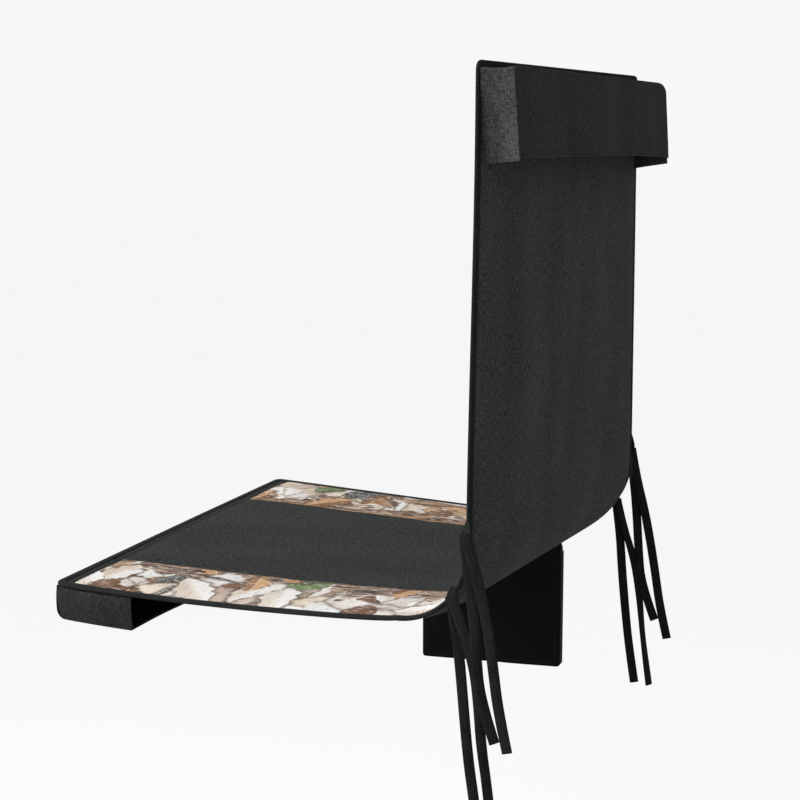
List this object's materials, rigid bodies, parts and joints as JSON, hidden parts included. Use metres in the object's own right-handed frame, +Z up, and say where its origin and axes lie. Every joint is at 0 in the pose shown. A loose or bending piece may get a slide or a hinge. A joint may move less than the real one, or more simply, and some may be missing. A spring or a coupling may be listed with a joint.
{
  "type": "removable seat and backrest cover for a climbing tree stand",
  "caption": "Padded cloth cover of a tree-stand seat and backrest: camouflage side strips, bound edges, a sleeve at each end, hanging tie ribbons and a side pouch.",
  "frame": {"origin": "on the middle plane, where the seat's top plane and the back's front plane meet; the ties lash the cover to the stand's frame here", "axes": "+Z up, along the back; the sitter faces -Y, so the seat runs along -Y; +X at the sitter's left hand"},
  "size_m": [0.4788, 0.5229, 0.7076],
  "materials": {
    "charcoal_cloth": "plain-woven polyester, charcoal, matt",
    "black_cloth": "plain-woven polyester, black, matt",
    "coated_black_cloth": "coarse woven polyester with a coated back, black",
    "camo_cloth": null,
    "binding_tape": "ribbed black binding tape",
    "tie_ribbon": "flat black ribbon, ribbed selvedges",
    "pouch_nylon": "smooth coated black nylon, slight gloss",
    "foam_sheet": "thin grey foam sheet, hidden inside the pad"
  },
  "bodies": {
    "seat": {"front_sleeve_gusset_left": "coated_black_cloth", "front_sleeve_gusset_right": "coated_black_cloth", "front_sleeve_hem": "coated_black_cloth", "front_sleeve_panel": "coated_black_cloth", "seat_binding": "binding_tape", "seat_camo_left": "camo_cloth", "seat_camo_right": "camo_cloth", "seat_centre_panel": "charcoal_cloth", "seat_foam": "foam_sheet", "seat_front_band": "coated_black_cloth", "seat_lining": "coated_black_cloth"},
    "back": {"back_binding": "binding_tape", "back_camo_left": "camo_cloth", "back_camo_right": "camo_cloth", "back_centre_panel": "charcoal_cloth", "back_foam": "foam_sheet", "back_rear_panel": "charcoal_cloth", "head_sleeve_band": "black_cloth", "head_sleeve_gusset_left": "charcoal_cloth", "head_sleeve_gusset_right": "charcoal_cloth", "head_sleeve_hem": "black_cloth", "head_sleeve_top": "black_cloth", "tie_tab_left_upper": "binding_tape", "tie_tab_right_upper": "binding_tape"},
    "bend": {"bend_binding_left": "binding_tape", "bend_binding_right": "binding_tape", "bend_panel": "charcoal_cloth", "tie_tab_left_lower": "binding_tape", "tie_tab_right_lower": "binding_tape"},
    "pouch": {"pouch_binding": "binding_tape", "pouch_hanger": "binding_tape", "pouch_inner_panel": "pouch_nylon", "pouch_mouth_hem": "binding_tape", "pouch_outer_panel": "pouch_nylon"},
    "ties_left_upper": {"tie_left_upper_inner": "tie_ribbon", "tie_left_upper_outer": "tie_ribbon"},
    "ties_left_lower": {"tie_left_lower_inner": "tie_ribbon", "tie_left_lower_outer": "tie_ribbon"},
    "ties_right_upper": {"tie_right_upper_inner": "tie_ribbon", "tie_right_upper_outer": "tie_ribbon"},
    "ties_right_lower": {"tie_right_lower_inner": "tie_ribbon", "tie_right_lower_outer": "tie_ribbon"}
  },
  "joints": [
    {"name": "back_fold", "type": "hinge", "parent": "seat", "child": "back", "pos_m": [0, -0.0161, 0.0161], "axis": [1, 0, 0], "range_deg": [-90, 90]},
    {"name": "bend_turn", "type": "hinge", "parent": "seat", "child": "bend", "pos_m": [0, -0.0161, 0.0161], "axis": [1, 0, 0], "range_deg": [-45, 45], "deforming": ["bend_panel", "bend_binding_left", "bend_binding_right"]},
    {"name": "pouch_swing", "type": "hinge", "parent": "seat", "child": "pouch", "pos_m": [-0.2167, -0.1665, -0.0086], "axis": [0, -1, 0], "range_deg": [0, 80]},
    {"name": "ties_left_upper_hang", "type": "hinge", "parent": "back", "child": "ties_left_upper", "pos_m": [0.2382, 0, 0.088], "axis": [1, 0, 0], "range_deg": [-90, 90]},
    {"name": "ties_left_lower_hang", "type": "hinge", "parent": "bend", "child": "ties_left_lower", "pos_m": [0.2352, -0.015, 0.027], "axis": [1, 0, 0], "range_deg": [-45, 45]},
    {"name": "ties_right_upper_hang", "type": "hinge", "parent": "back", "child": "ties_right_upper", "pos_m": [-0.2382, 0, 0.088], "axis": [1, 0, 0], "range_deg": [-90, 90]},
    {"name": "ties_right_lower_hang", "type": "hinge", "parent": "bend", "child": "ties_right_lower", "pos_m": [-0.2352, -0.015, 0.027], "axis": [1, 0, 0], "range_deg": [-45, 45]}
  ],
  "couplings": [
    {"joint": "bend_turn", "follows": "back_fold", "ratio": 0.5},
    {"joint": "ties_left_upper_hang", "follows": "back_fold", "ratio": -1},
    {"joint": "ties_left_lower_hang", "follows": "back_fold", "ratio": -0.5},
    {"joint": "ties_right_upper_hang", "follows": "back_fold", "ratio": -1},
    {"joint": "ties_right_lower_hang", "follows": "back_fold", "ratio": -0.5}
  ]
}
